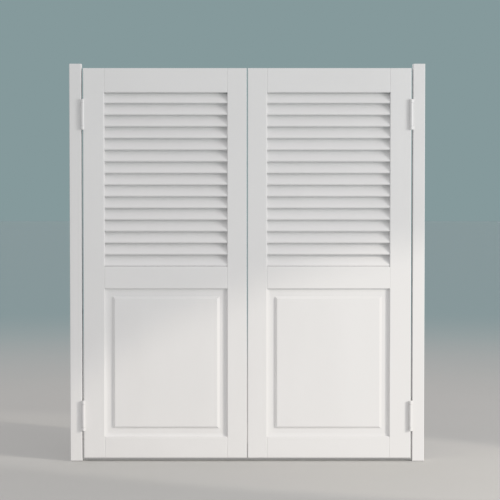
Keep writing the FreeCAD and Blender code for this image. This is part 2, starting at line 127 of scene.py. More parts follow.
class CafeDoorPaint(PropertyGroup):
    """Colours and surface of the painted wood and the painted hinges."""

    wood_colour: colour("Wood paint", "Colour of the satin paint on the wood", (0.84, 0.84, 0.84))
    wood_roughness: share("Wood roughness", "Roughness of the satin paint", 0.42)
    tone_drift: share("Tone drift", "How far the paint's tone drifts over a board", 0.035)
    grain_height: length("Grain height", "Height of the wood grain that shows through the paint", 0.022)
    peel_height: length("Orange peel height", "Height of the sprayed paint's fine texture", 0.009)
    dust: share("Dust", "How much dust lies on edges that face upwards", 0.03)
    hinge_colour: colour("Hinge paint", "Colour of the baked paint on the hinges", (0.83, 0.83, 0.83))
    hinge_roughness: share("Hinge roughness", "Roughness of the baked paint", 0.32)
    hinge_rub: share("Hinge rub", "How much bare steel shows where knuckles rub", 0.55)


class CafeDoorSlats(PropertyGroup):
    """The louvre slats' cross-section."""

    width: length("Width", "From edge to edge of a slat", 40.0)
    thickness: length("Thickness", "Between a slat's two faces", 6.0)
    lean: FloatProperty(
        name="Lean",
        description="Angle of a slat above the horizontal, its front edge low",
        default=math.radians(56.0),
        subtype="ANGLE",
    )
    steps: IntProperty(name="Edge steps", description="Faces round each round edge", default=14, min=4)


class CafeDoorPanels(PropertyGroup):
    """The raised panels' profile, from the panel's outer edge inwards."""

    tongue_depth: length("Tongue depth", "Width of the tongue that sits in the groove", 7.0)
    tongue_thickness: length("Tongue thickness", "Thickness of the tongue", 16.0)
    margin_width: length("Margin width", "Width of the margin round the field", 20.0)
    cove_width: length("Cove width", "Width of the hollow that starts the margin", 9.0)
    bevel_width: length("Bevel width", "Width of the slope up to the field", 5.2)
    step: length("Step", "Height of the slope up to the field", 5.3)
    softness: length("Softness", "How far paint softens the corners of the profile", 0.6)


class CafeDoorHardware(PropertyGroup):
    """Screws and springs of the hinges."""

    screw_length: length("Screw length", "Length of a countersunk screw", 18.0)
    shank_radius: length("Shank radius", "Radius over a screw's thread", 1.75)
    head_depth: length("Head depth", "Height of a screw's countersunk head", 1.6)
    thread_pitch: length("Thread pitch", "Rise of a screw's thread in one turn", 1.3)
    thread_height: length("Thread height", "Height of a screw's thread", 0.42)
    recess_depth: length("Recess depth", "Depth of the cross in a screw's head", 1.15)
    recess_width: length("Recess width", "Width of one arm of the cross", 0.85)
    recess_reach: length("Recess reach", "From a head's middle to the end of an arm of the cross", 1.9)
    wire: length("Spring wire", "Diameter of the springs' wire", 0.8)
    coil_radius: length("Coil radius", "From a spring's axis to the middle of its wire", 2.28)
    coil_height: length("Coil height", "Height of a closely wound spring", 47.8)
    steel_colour: colour("Spring steel", "Colour of the oiled spring wire", (0.34, 0.345, 0.35))
    zinc_colour: colour("Zinc", "Colour of the screws' zinc plate", (0.62, 0.635, 0.66))
    brass_colour: colour("Brass", "Colour of the turned brass bushes", (0.66, 0.49, 0.22))


class CafeDoorStudio(PropertyGroup):
    """Camera, lights and floor."""

    distance: length("Camera distance", "From the camera to the doors", 4500.0, soft_max=10.0)
    frame_width: length("Frame width", "Width of the picture at the doors", 1272.5, soft_max=5.0)
    pitch: FloatProperty(
        name="Camera pitch",
        description="How far the camera looks downwards",
        default=math.radians(2.1),
        subtype="ANGLE",
    )
    aim_x: FloatProperty(
        name="Aim X", description="X of the picture's middle", default=0.0071, unit="LENGTH"
    )
    aim_z: FloatProperty(
        name="Aim Z", description="Z of the picture's middle", default=0.5374, unit="LENGTH"
    )
    key_power: power("Key power", "Power of the wide light from the right", 68.0)
    beam_power: power("Beam power", "Power of the soft beam that falls on the lower right", 350.0)
    fill: FloatProperty(
        name="Fill", description="Strength of the light from all round", default=0.76, min=0.0
    )
    backdrop: colour("Backdrop", "Colour seen behind the doors", (0.275, 0.36, 0.37))
    floor_colour: colour("Floor", "Colour of the floor", (0.58, 0.58, 0.565))


# ---------------------------------------------------------------- meshes
def outward(points, triangles):
    """Whether triangles wind outwards.

    The sum of a . (b x c) over their corners is six times the volume, and positive if they do."""
    a, b, c = (points[triangles[:, column]] for column in range(3))
    return float(np.einsum("ij,ij->i", a, np.cross(b, c)).sum()) > 0.0


def closed_skin(rings, first_pole=None, last_pole=None):
    """A closed solid through rings of points, as (points, faces).

    Point j of ring i is rings[i, j]. Rings i and i + 1 are joined by quads (i, j), (i, j + 1),
    (i + 1, j + 1), (i + 1, j), with j counted round the ring. Each end is closed by one flat face,
    or by a fan to a pole where one is given. All faces are turned if they wind inwards."""
    rows, around = rings.shape[:2]
    index = np.arange(rows * around).reshape(rows, around)
    ahead = np.roll(index, -1, axis=1)
    quads = np.stack([index[:-1], ahead[:-1], ahead[1:], index[1:]], axis=-1).reshape(-1, 4)
    points = [rings.reshape(-1, 3)]
    faces = quads.tolist()
    corners = [quads[:, [0, 1, 2]], quads[:, [0, 2, 3]]]
    ends = ((index[0], ahead[0], first_pole, False), (index[-1], ahead[-1], last_pole, True))
    for ring, following, pole, reverse in ends:
        hub = ring[0]  # a flat end counts as a fan from here when its winding is tested
        if pole is not None:
            hub = sum(len(block) for block in points)
            points.append(np.asarray(pole, dtype=float).reshape(1, 3))
        pair = (ring, following) if reverse else (following, ring)
        fan = np.stack([np.full(around, hub), *pair], axis=-1)
        corners.append(fan)
        if pole is None:
            faces.append(ring.tolist() if reverse else ring[::-1].tolist())
        else:
            faces += fan.tolist()
    points = np.concatenate(points)
    if not outward(points, np.concatenate(corners)):
        faces = [face[::-1] for face in faces]
    return points, faces


def make_piece(name, solids, material, body, nodes, sharp=35.0):
    """A piece of one or more solids, which rides on a body and stands for its CAD nodes.

    Edges that turn by less than the sharp angle, in degrees, are shaded smooth."""
    points, faces = [], []
    for own_points, own_faces in solids:
        start = len(points)
        points += own_points.tolist()
        faces += [[start + corner for corner in face] for face in own_faces]
    mesh = bpy.data.meshes.new(name)
    mesh.from_pydata(points, [], faces)
    mesh.shade_smooth()
    mesh.set_sharp_from_angle(angle=math.radians(sharp))
    mesh.materials.append(material)
    piece = bpy.data.objects.new(name, mesh)
    bpy.context.scene.collection.objects.link(piece)
    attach(piece, body)
    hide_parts(*nodes)
    return piece


def slat_solid(low, high, settings):
    """A louvre slat between its box's corners.

    The profile is a stadium: two half circles of the slat's half thickness, at each end of a middle
    line that leans back by the slat's angle. Its lowest point is the box's lowest. Points over the
    box's top slide down the lean until they are level with it, which planes the slat off there."""
    radius = settings.thickness / 2
    reach = (settings.width - settings.thickness) / 2
    rise = np.array([math.cos(settings.lean), math.sin(settings.lean)])
    normal = np.array([-rise[1], rise[0]])
    centre = np.array([0.0, low[2] + radius + reach * rise[1]])
    turn = np.linspace(math.pi / 2, -math.pi / 2, settings.steps + 1)
    arc = radius * (np.cos(turn)[:, None] * rise + np.sin(turn)[:, None] * normal)
    outline = np.concatenate([centre + rise * reach + arc, centre - rise * reach - arc])
    outline -= rise * (np.clip(outline[:, 1] - high[2], 0.0, None) / rise[1])[:, None]
    rings = np.empty((2, len(outline), 3))
    rings[:, :, 0] = np.array([low[0], high[0]])[:, None]
    rings[:, :, 1:] = outline
    return closed_skin(rings)


def soft_least(a, b, width):
    """The smaller of two arrays, with the corner between them rounded over a width."""
    blend = np.clip(0.5 + 0.5 * (b - a) / width, 0.0, 1.0)
    return b + (a - b) * blend - width * blend * (1.0 - blend)


def panel_solid(low, high, settings):
    """A raised panel between its box's corners, as rectangles inset step by step from its edge.

    At a distance d from the edge the half thickness is the tongue's, then a parabola over the cove
    that runs out flat, then the margin's flat, then a straight slope up the bevel, then the field's.
    The corners between them are rounded by soft_least. The rings run from the front field out to the
    edge and back in to the rear field."""
    tongue = settings.tongue_thickness / 2
    field = (high[1] - low[1]) / 2
    foot = field - settings.step
    start = settings.tongue_depth
    margin_end = start + settings.margin_width
    bevel_end = margin_end + settings.bevel_width
    cove_end = start + settings.cove_width
    soft = settings.softness
    cove_steps, margin_steps, bevel_steps = 12, 4, 22
    distance = np.concatenate(
        [
            np.linspace(0.0, start, 2),
            np.linspace(start, cove_end, cove_steps)[1:],
            np.linspace(cove_end, margin_end - 2 * soft, margin_steps)[1:],
            np.linspace(margin_end - 2 * soft, bevel_end + 2 * soft, bevel_steps)[1:],
        ]
    )
    cove_left = np.clip((cove_end - distance) / settings.cove_width, 0.0, 1.0)
    margin = foot + (tongue - foot) * cove_left**2
    bevel = foot + settings.step * (distance - margin_end) / settings.bevel_width
    half = -soft_least(-margin, -bevel, soft)
    half = soft_least(half, np.full_like(half, field), soft)
    half = np.where(distance <= start, tongue, half)
    half[-1] = field
    inset = np.concatenate([distance[::-1], distance])
    depth = np.concatenate([-half[::-1], half])
    rings = np.empty((len(inset), 4, 3))
    left, right, bottom, top = low[0] + inset, high[0] - inset, low[2] + inset, high[2] - inset
    rings[:, :, 0] = np.stack([left, right, right, left], axis=1)
    rings[:, :, 1] = depth[:, None]
    rings[:, :, 2] = np.stack([bottom, bottom, top, top], axis=1)
    return closed_skin(rings)


def crease_mitres(mesh):
    """Keeps a panel's four mitre lines crisp: edges between points of one corner of the rectangles."""
    ends = np.empty(len(mesh.edges) * 2, dtype=np.int32)
    mesh.edges.foreach_get("vertices", ends)
    sharp = np.empty(len(mesh.edges), dtype=bool)
    mesh.edges.foreach_get("use_edge_sharp", sharp)
    sharp |= (ends[0::2] % 4) == (ends[1::2] % 4)
    mesh.edges.foreach_set("use_edge_sharp", sharp)


def screw_solid(seat, into, twist, settings):
    """A countersunk wood screw whose head is flush at seat and whose tip points along the sign of x.

    Its surface is radius against depth, turned about the axis. The head's top is a disc pressed in
    by a cross: the depth there is the larger of two slots, each full inside its width and reach and
    falling off over its edges. Below the head the radius is the shank's less a saw-tooth of the
    height along the axis and the angle round it, which winds a thread."""
    slot_edge = 0.3 * MM
    tip_length = 4 * MM
    thread_start = 2 * MM
    thread_growth = 3 * MM
    hub_share = 0.08  # of the head's radius, inside its first ring
    around, head_steps, shank_steps, tip_steps = 40, 13, 56, 17
    angle = np.linspace(0.0, 2 * math.pi, around, endpoint=False)[None, :]
    head_radius = settings.shank_radius + settings.head_depth
    disc = np.linspace(hub_share, 1.0, head_steps)[:, None] * head_radius
    along = disc * np.cos(angle)
    across = disc * np.sin(angle)

    def slot(x, y):
        sides = np.clip((settings.recess_width / 2 + slot_edge / 2 - np.abs(y)) / slot_edge, 0.0, 1.0)
        ends = np.clip((settings.recess_reach + slot_edge - np.abs(x)) / (2 * slot_edge), 0.0, 1.0)
        return sides * ends

    top = settings.recess_depth * np.maximum(slot(along, across), slot(across, along))
    end = settings.screw_length
    taper = end - tip_length
    shank_heights = np.linspace(settings.head_depth, taper, shank_steps)
    tip_heights = np.linspace(taper, end, tip_steps)[1:-1]
    height = np.concatenate([shank_heights, tip_heights])[:, None]
    tip = np.clip((end - height) / (end - taper), 0.0, 1.0)
    fade = np.clip((height - settings.head_depth - thread_start) / thread_growth, 0.0, 1.0)
    tooth = np.abs(((height / settings.thread_pitch - angle / (2 * math.pi)) % 1.0) * 2.0 - 1.0)
    shank = (settings.shank_radius - settings.thread_height * fade * tooth) * tip
    radius = np.concatenate([np.broadcast_to(disc, top.shape), shank])
    depth = np.concatenate([top, np.broadcast_to(height, shank.shape)])
    spin = angle + twist
    x, y, z = seat
    rings = np.stack([x + into * depth, y + radius * np.cos(spin), z + radius * np.sin(spin)], axis=-1)
    return closed_skin(rings, (x + into * settings.recess_depth, y, z), (x + into * end, y, z))


def spring_solid(side, y, level, settings):
    """A closely wound spring in a barrel, with the leg that it turns out through the barrel's wall.

    Its path is a helix of a little over one wire diameter a turn, then a quadratic curve from the
    helix's tangent to the outward direction, then a straight leg. The wire is a circle in the plane
    of the path's outward direction and the vertical, carried along the path."""
    radius = settings.coil_radius
    pitch = 1.06 * settings.wire
    steps_a_turn, bend_steps, wire_sides = 22, 8, 8
    exit_angle = -math.radians(30.0)
    bend_run = 0.6 * MM
    leg_end = 3.9 * MM
    turns = settings.coil_height / pitch
    phase = np.linspace(exit_angle - 2 * math.pi * turns, exit_angle, int(turns * steps_a_turn))
    top = (settings.coil_height - settings.wire) / 2
    climb = np.linspace(-top, top, len(phase))
    coil = np.stack([radius * np.cos(phase), radius * np.sin(phase), climb], axis=1)
    corner = np.array([radius / math.cos(exit_angle), 0.0])
    leave = corner + np.array([bend_run, 0.0])
    bend = np.linspace(0.0, 1.0, bend_steps)[1:, None]
    curve = (1 - bend) ** 2 * coil[-1, :2] + 2 * bend * (1 - bend) * corner + bend**2 * leave
    plan = np.concatenate([curve, [[leg_end, 0.0]]])
    path = np.concatenate([coil, np.column_stack([plan, np.full(len(plan), coil[-1, 2])])])
    along = np.gradient(path, axis=0)
    along /= np.linalg.norm(along, axis=1, keepdims=True)
    out = np.cross(along, [0.0, 0.0, 1.0])
    out /= np.linalg.norm(out, axis=1, keepdims=True)
    up = np.cross(out, along)
    angle = np.linspace(0.0, 2 * math.pi, wire_sides, endpoint=False)[None, :, None]
    ring = np.cos(angle) * out[:, None] + np.sin(angle) * up[:, None]
    rings = path[:, None] + settings.wire / 2 * ring
    hand = 1.0 if side == "left" else -1.0
    return closed_skin(rings * (hand, 1.0, 1.0) + (-hand * BARREL_X, y, level))


# ---------------------------------------------------------------- shader nodes
def shader_node(tree, kind, inputs=(), **attributes):
    """Adds a node. Each input's value is a socket to link, or a number, vector or colour to set."""
    made = tree.nodes.new(kind)
    for label, value in attributes.items():
        setattr(made, label, value)
    for key, value in dict(inputs).items():
        socket = made.inputs[key]
        if isinstance(value, bpy.types.NodeSocket):
            tree.links.new(value, socket)
        else:
            socket.default_value = value
    return made


def reckon(tree, operation, *values, clamp=False):
    """A math node's output."""
    node = shader_node(tree, "ShaderNodeMath", enumerate(values), operation=operation, use_clamp=clamp)
    return node.outputs[0]


def swing(tree, value, reach):
    """A noise's swing about its middle, times a reach."""
    return reckon(tree, "MULTIPLY", reckon(tree, "SUBTRACT", value, 0.5), reach)


def apart(tree, value, other):
    """How far apart two values are."""
    return reckon(tree, "ABSOLUTE", reckon(tree, "SUBTRACT", value, other))


def ramp(tree, value, low, high, at_low=0.0, at_high=1.0, **attributes):
    """A value carried from the range between low and high to another, and held inside it."""
    inputs = enumerate((value, low, high, at_low, at_high))
    return shader_node(tree, "ShaderNodeMapRange", inputs, **attributes).outputs[0]


def blend_colours(tree, amount, first, second, mode="MIX"):
    """Two colours mixed, as a socket. A Mix node's colour sockets share their names with its others,
    so they are found by place."""
    factor, colour_a, colour_b, colour_out = 0, 6, 7, 2
    inputs = {factor: amount, colour_a: first, colour_b: second}
    node = shader_node(tree, "ShaderNodeMix", inputs, data_type="RGBA", blend_type=mode)
    return node.outputs[colour_out]


def noise(tree, vector, scale, detail=2.0, roughness=0.5):
    """A noise texture's value, from 0 to 1."""
    inputs = {"Vector": vector, "Scale": scale, "Detail": detail, "Roughness": roughness}
    return shader_node(tree, "ShaderNodeTexNoise", inputs).outputs["Fac"]


def stretched(tree, vector, scale):
    """A vector scaled by axis."""
    return shader_node(tree, "ShaderNodeMapping", {"Vector": vector, "Scale": scale}).outputs[0]


def node_group(name, inputs, outputs):
    """A new shader node group with named sockets, its input sockets by name, and its output node."""
    group = bpy.data.node_groups.new(name, "ShaderNodeTree")
    for label, kind in inputs:
        group.interface.new_socket(label, in_out="INPUT", socket_type="NodeSocket" + kind)
    for label, kind in outputs:
        group.interface.new_socket(label, in_out="OUTPUT", socket_type="NodeSocket" + kind)
    entry = group.nodes.new("NodeGroupInput")
    leaving = group.nodes.new("NodeGroupOutput")
    return group, {label: entry.outputs[label] for label, _ in inputs}, leaving


def paint_film_group():
    """Paint over a surface: its tone drifts slowly, the grain below stands up through it in long lines
    along Z, and the sprayed film has a fine orange peel. Gives a colour, a roughness and a height."""
    tree, given, leaving = node_group(
        "Paint film",
        (
            ("Vector", "Vector"),
            ("Paint", "Color"),
            ("Roughness", "Float"),
            ("Tone Drift", "Float"),
            ("Grain Height", "Float"),
            ("Peel Height", "Float"),
        ),
        (("Color", "Color"), ("Roughness", "Float"), ("Height", "Float")),
    )
    drift_to_tone, drift_to_rough = 2.0, 2.5
    line_to_tone, peel_to_rough = 0.012, 0.08
    fine_share, wide_share = 0.6, 0.4
    place = given["Vector"]
    drift = noise(tree, stretched(tree, place, (1.0, 1.0, 0.35)), scale=9.0, detail=3.0)
    long_thin, long_wide = (1.0, 1.0, 0.03), (1.0, 1.0, 0.05)
    lines = noise(tree, stretched(tree, place, long_thin), scale=620.0, detail=3.0, roughness=0.6)
    wide_lines = noise(tree, stretched(tree, place, long_wide), scale=110.0)
    peel = noise(tree, place, scale=1500.0, detail=1.0)
    drifting = swing(tree, drift, given["Tone Drift"])
    tone = reckon(tree, "ADD", 1.0, reckon(tree, "MULTIPLY", drifting, drift_to_tone))
    shade = reckon(tree, "ADD", tone, swing(tree, lines, line_to_tone))
    grey = shader_node(tree, "ShaderNodeCombineColor", {0: shade, 1: shade, 2: shade}).outputs[0]
    rough = reckon(tree, "ADD", given["Roughness"], reckon(tree, "MULTIPLY", drifting, drift_to_rough))
    rough = reckon(tree, "ADD", rough, swing(tree, peel, peel_to_rough))
    fine = reckon(tree, "MULTIPLY", lines, fine_share)
    wide = reckon(tree, "MULTIPLY", wide_lines, wide_share)
    grain = reckon(tree, "ADD", fine, wide)
    grain_up = reckon(tree, "MULTIPLY", grain, given["Grain Height"])
    peel_up = reckon(tree, "MULTIPLY", peel, given["Peel Height"])
    tinted = blend_colours(tree, 1.0, given["Paint"], grey, mode="MULTIPLY")
    tree.links.new(tinted, leaving.inputs["Color"])
    tree.links.new(rough, leaving.inputs["Roughness"])
    tree.links.new(reckon(tree, "ADD", grain_up, peel_up), leaving.inputs["Height"])
    return tree


def settled_dust_group():
    """Dust on what faces upwards, broken up by noise. Gives a mask."""
    tree, given, leaving = node_group(
        "Settled dust", (("Vector", "Vector"), ("Amount", "Float")), (("Mask", "Float"),)
    )
    steepest, flattest = 0.35, 0.95  # a unit normal's height where dust starts, and lies in full
    thinnest = 0.35
    normal = shader_node(tree, "ShaderNodeTexCoord").outputs["Normal"]
    upward = shader_node(tree, "ShaderNodeSeparateXYZ", {0: normal}).outputs[2]
    lying = ramp(tree, upward, steepest, flattest)
    patches = noise(tree, given["Vector"], scale=85.0, detail=4.0, roughness=0.65)
    broken = reckon(tree, "MULTIPLY", lying, reckon(tree, "ADD", patches, thinnest))
    mask = reckon(tree, "MULTIPLY", broken, given["Amount"], clamp=True)
    tree.links.new(mask, leaving.inputs["Mask"])
    return tree


def worked_metal_group():
    """Bare or plated metal: fine drawn lines along Z, and duller patches where it was handled. Gives
    a colour, a roughness and a height."""
    tree, given, leaving = node_group(
        "Worked metal",
        (
            ("Vector", "Vector"),
            ("Metal", "Color"),
            ("Roughness", "Float"),
            ("Line Height", "Float"),
            ("Tarnish", "Float"),
        ),
        (("Color", "Color"), ("Roughness", "Float"), ("Height", "Float")),
    )
    tarnish_to_rough, line_to_rough = 0.35, 0.06
    lines = noise(tree, stretched(tree, given["Vector"], (1.0, 1.0, 0.02)), scale=3200.0)
    patches = noise(tree, given["Vector"], scale=260.0, detail=4.0, roughness=0.6)
    dull = reckon(tree, "MULTIPLY", patches, given["Tarnish"], clamp=True)
    tone = blend_colours(tree, dull, given["Metal"], TARNISH_TONE)
    rough = reckon(tree, "ADD", given["Roughness"], reckon(tree, "MULTIPLY", dull, tarnish_to_rough))
    rough = reckon(tree, "ADD", rough, reckon(tree, "MULTIPLY", lines, line_to_rough))
    tree.links.new(tone, leaving.inputs["Color"])
    tree.links.new(rough, leaving.inputs["Roughness"])
    tree.links.new(reckon(tree, "MULTIPLY", lines, given["Line Height"]), leaving.inputs["Height"])
    return tree


def group_once(name, build):
    """A node group by name, built the first time that it is asked for."""
    return bpy.data.node_groups.get(name) or build()


def new_material(name):
    """A new material, its tree, its Principled shader and a socket of Object coordinates."""
    material = bpy.data.materials.new(name)
    material.use_nodes = True
    tree = material.node_tree
    shader = tree.nodes["Principled BSDF"]
    place = tree.nodes.new("ShaderNodeTexCoord").outputs["Object"]
    return material, tree, shader, place


def effect(tree, group, **inputs):
    """A node group placed in a material with its own values."""
    named = {label.replace("_", " "): value for label, value in inputs.items()}
    return shader_node(tree, "ShaderNodeGroup", named, node_tree=group)


def raise_surface(tree, shader, height):
    """Feeds a height in metres to a shader's normal."""
    bump = shader_node(tree, "ShaderNodeBump", {"Height": height, "Distance": 1.0, "Strength": 1.0})
    tree.links.new(bump.outputs[0], shader.inputs["Normal"])


def painted_wood(name, settings, turn=(0.0, 0.0, 0.0), shift=(0.0, 0.0, 0.0), grain=1.0):
    """Satin paint over wood whose grain runs along Z once the pattern is turned."""
    dust_to_rough = 0.6
    material, tree, shader, place = new_material(name)
    move = {"Vector": place, "Rotation": turn, "Location": shift}
    place = shader_node(tree, "ShaderNodeMapping", move).outputs[0]
    film = effect(
        tree,
        group_once("Paint film", paint_film_group),
        Vector=place,
        Paint=(*settings.wood_colour, 1.0),
        Roughness=settings.wood_roughness,
        Tone_Drift=settings.tone_drift,
        Grain_Height=settings.grain_height * grain,
        Peel_Height=settings.peel_height,
    )
    settled = group_once("Settled dust", settled_dust_group)
    dust = effect(tree, settled, Vector=place, Amount=settings.dust).outputs[0]
    tone = blend_colours(tree, dust, film.outputs["Color"], DUST_TONE)
    rough = reckon(tree, "MULTIPLY", dust, dust_to_rough)
    rough = reckon(tree, "ADD", film.outputs["Roughness"], rough, clamp=True)
    tree.links.new(tone, shader.inputs["Base Color"])
    tree.links.new(rough, shader.inputs["Roughness"])
    raise_surface(tree, shader, film.outputs["Height"])
    shader.inputs["Specular IOR Level"].default_value = 0.45
    return material


def painted_steel(name, settings):
    """Baked paint on steel, rubbed through where a barrel's knuckles meet."""
    rub_core, rub_reach = 0.15 * MM, 0.9 * MM  # from the joint: worn in full, and untouched
    chip_from, chip_to = 0.38, 0.46  # wear at which paint starts to go, and is gone
    material, tree, shader, place = new_material(name)
    film = effect(
        tree,
        group_once("Paint film", paint_film_group),
        Vector=place,
        Paint=(*settings.hinge_colour, 1.0),
        Roughness=settings.hinge_roughness,
        Tone_Drift=settings.tone_drift,
        Grain_Height=0.0,
        Peel_Height=settings.peel_height,
    )
    height = shader_node(tree, "ShaderNodeSeparateXYZ", {0: place}).outputs[2]
    nearest = reckon(tree, "MINIMUM", *(apart(tree, height, level) for level in HINGE_LEVELS))
    from_joint = apart(tree, nearest, KNUCKLE_JOINT)
    close = ramp(tree, from_joint, rub_core, rub_reach, at_low=1.0, at_high=0.0)
    chips = noise(tree, place, scale=900.0, detail=4.0, roughness=0.6)
    worn = reckon(tree, "MULTIPLY", close, chips)
    rubbed = ramp(tree, worn, chip_from, chip_to, at_high=settings.hinge_rub)
    tone = blend_colours(tree, rubbed, film.outputs["Color"], BARE_STEEL_TONE)
    tree.links.new(tone, shader.inputs["Base Color"])
    tree.links.new(rubbed, shader.inputs["Metallic"])
    tree.links.new(film.outputs["Roughness"], shader.inputs["Roughness"])
    raise_surface(tree, shader, film.outputs["Height"])
    shader.inputs["Specular IOR Level"].default_value = 0.5
    return material


def bare_metal(name, metal, roughness, tarnish):
    """Bare or plated metal with drawn lines and a little tarnish."""
    material, tree, shader, place = new_material(name)
    finish = effect(
        tree,
        group_once("Worked metal", worked_metal_group),
        Vector=place,
        Metal=(*metal, 1.0),
        Roughness=roughness,
        Line_Height=0.004 * MM,
        Tarnish=tarnish,
    )
    tree.links.new(finish.outputs["Color"], shader.inputs["Base Color"])
    tree.links.new(finish.outputs["Roughness"], shader.inputs["Roughness"])
    raise_surface(tree, shader, finish.outputs["Height"])
    shader.inputs["Metallic"].default_value = 1.0
    return material


def dress(names, material):
    """Gives CAD nodes a material."""
    for name in names:
        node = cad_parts[name]
        for place in range(len(node.data.materials)):
            node.data.materials[place] = material


def aim(thing, target):
    """Turns a light or camera to look at a point."""
    line = Vector(target) - thing.location
    thing.rotation_euler = line.to_track_quat("-Z", "Y").to_euler()


# ---------------------------------------------------------------- operators
class CAFEDOORS_OT_frames(Operator):
    """Paint the leaves' stiles and rails"""

    bl_idname = "cafe_doors.frames"
    bl_label = "Stiles and Rails"

    def execute(self, context):
        paint = context.scene.cafe_door_paint
        upright = painted_wood("stile_paint", paint)
        level = painted_wood("rail_paint", paint, turn=Z_ALONG_X, shift=(0.3, 0.1, 0.2))
        for side in SIDES:
            dress([f"{side}_hinge_stile", f"{side}_meeting_stile"], upright)
            dress([f"{side}_{rail}_rail" for rail in ("top", "mid", "bottom")], level)
        return {"FINISHED"}


class CAFEDOORS_OT_strips(Operator):
    """Paint the two wall strips"""

    bl_idname = "cafe_doors.strips"
    bl_label = "Wall Strips"

    def execute(self, context):
        paint = context.scene.cafe_door_paint
        material = painted_wood("strip_paint", paint, shift=(0.7, 0.4, 0.1))
        dress([f"{side}_wall_strip" for side in SIDES], material)
        return {"FINISHED"}


class CAFEDOORS_OT_slats(Operator):
    """Make the thirty louvre slats"""

    bl_idname = "cafe_doors.slats"
    bl_label = "Louvre Slats"

    def execute(self, context):
        paint = context.scene.cafe_door_paint
        material = painted_wood("slat_paint", paint, turn=Z_ALONG_X, grain=0.8)
        for side in SIDES:
            body = f"{side}_leaf"
            slats = [node for node in sorted(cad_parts) if node.startswith(f"{side}_louvre_slat_")]
            for node in slats:
                solid = slat_solid(*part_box(node), context.scene.cafe_door_slats)
                make_piece(f"{node}_painted", [solid], material, body, [node])
        return {"FINISHED"}


class CAFEDOORS_OT_panels(Operator):
    """Make the two raised panels"""

    bl_idname = "cafe_doors.panels"
    bl_label = "Raised Panels"

    def execute(self, context):
        paint = context.scene.cafe_door_paint
        material = painted_wood("panel_paint", paint, shift=(0.2, 0.9, 0.5), grain=0.35)
        for side in SIDES:
            node, body = f"{side}_raised_panel", f"{side}_leaf"
            solid = panel_solid(*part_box(node), context.scene.cafe_door_panels)
            piece = make_piece(f"{node}_painted", [solid], material, body, [node])
            crease_mitres(piece.data)
        return {"FINISHED"}


class CAFEDOORS_OT_hinges(Operator):
    """Paint the hinges' plates, webs and pins, and finish their bushes"""

    bl_idname = "cafe_doors.hinges"
    bl_label = "Hinges"

    def execute(self, context):
        steel = painted_steel("hinge_paint", context.scene.cafe_door_paint)
        dress(["front_pins"], steel)
        for side in SIDES:
            kinds = ("jamb_plates", "leaf_plates", "hinge_webs", "rear_pins")
            dress([f"{side}_{kind}" for kind in kinds], steel)
        brass_colour = context.scene.cafe_door_hardware.brass_colour
        brass = bare_metal("bush_brass", brass_colour, roughness=0.28, tarnish=0.35)
        dress([f"{side}_hinge_bushes" for side in SIDES], brass)
        return {"FINISHED"}


class CAFEDOORS_OT_screws(Operator):
    """Make the countersunk screws of the hinge plates"""

    bl_idname = "cafe_doors.screws"
    bl_label = "Screws"

    def execute(self, context):
        hardware = context.scene.cafe_door_hardware
        zinc = bare_metal("screw_zinc", hardware.zinc_colour, roughness=0.26, tarnish=0.25)
        twists = np.random.default_rng(seed=4)
        rows = (  # node, body, sides, seat and the way that the screws point, 1 being outwards
            ("jamb_plate_screws", "wall_strips", SIDES, JAMB_SEAT_X, 1.0),
            ("left_leaf_plate_screws", "left_leaf", ("left",), LEAF_SEAT_X, -1.0),
            ("right_leaf_plate_screws", "right_leaf", ("right",), LEAF_SEAT_X, -1.0),
        )
        for node, body, sides, seat_x, outwards in rows:
            solids = []
            for side, level, offset in product(sides, HINGE_LEVELS, (-1, 0, 1)):
                hand = 1.0 if side == "right" else -1.0
                y = (-SCREW_STAGGER if offset else SCREW_STAGGER) - outwards * PLATE_MIDDLE_Y
                seat = (hand * seat_x, y, level + offset * SCREW_SPREAD)
                twist = twists.uniform(0, math.pi)
                solids.append(screw_solid(seat, hand * outwards, twist, hardware))
            make_piece(f"{node}_driven", solids, zinc, body, [node])
        return {"FINISHED"}


class CAFEDOORS_OT_springs(Operator):
    """Wind the springs in the hinges' barrels"""

    bl_idname = "cafe_doors.springs"
    bl_label = "Springs"

    def execute(self, context):
        hardware = context.scene.cafe_door_hardware
        steel = bare_metal("spring_wire", hardware.steel_colour, roughness=0.3, tarnish=0.3)
        barrels = list(product(HINGE_LEVELS, (-BARREL_Y, BARREL_Y)))
        for side in SIDES:
            solids = [spring_solid(side, y, level, hardware) for level, y in barrels]
            node = f"{side}_hinge_springs"
            body = f"{side}_webs"
            make_piece(f"{node}_wound", solids, steel, body, [node], sharp=60.0)
        return {"FINISHED"}


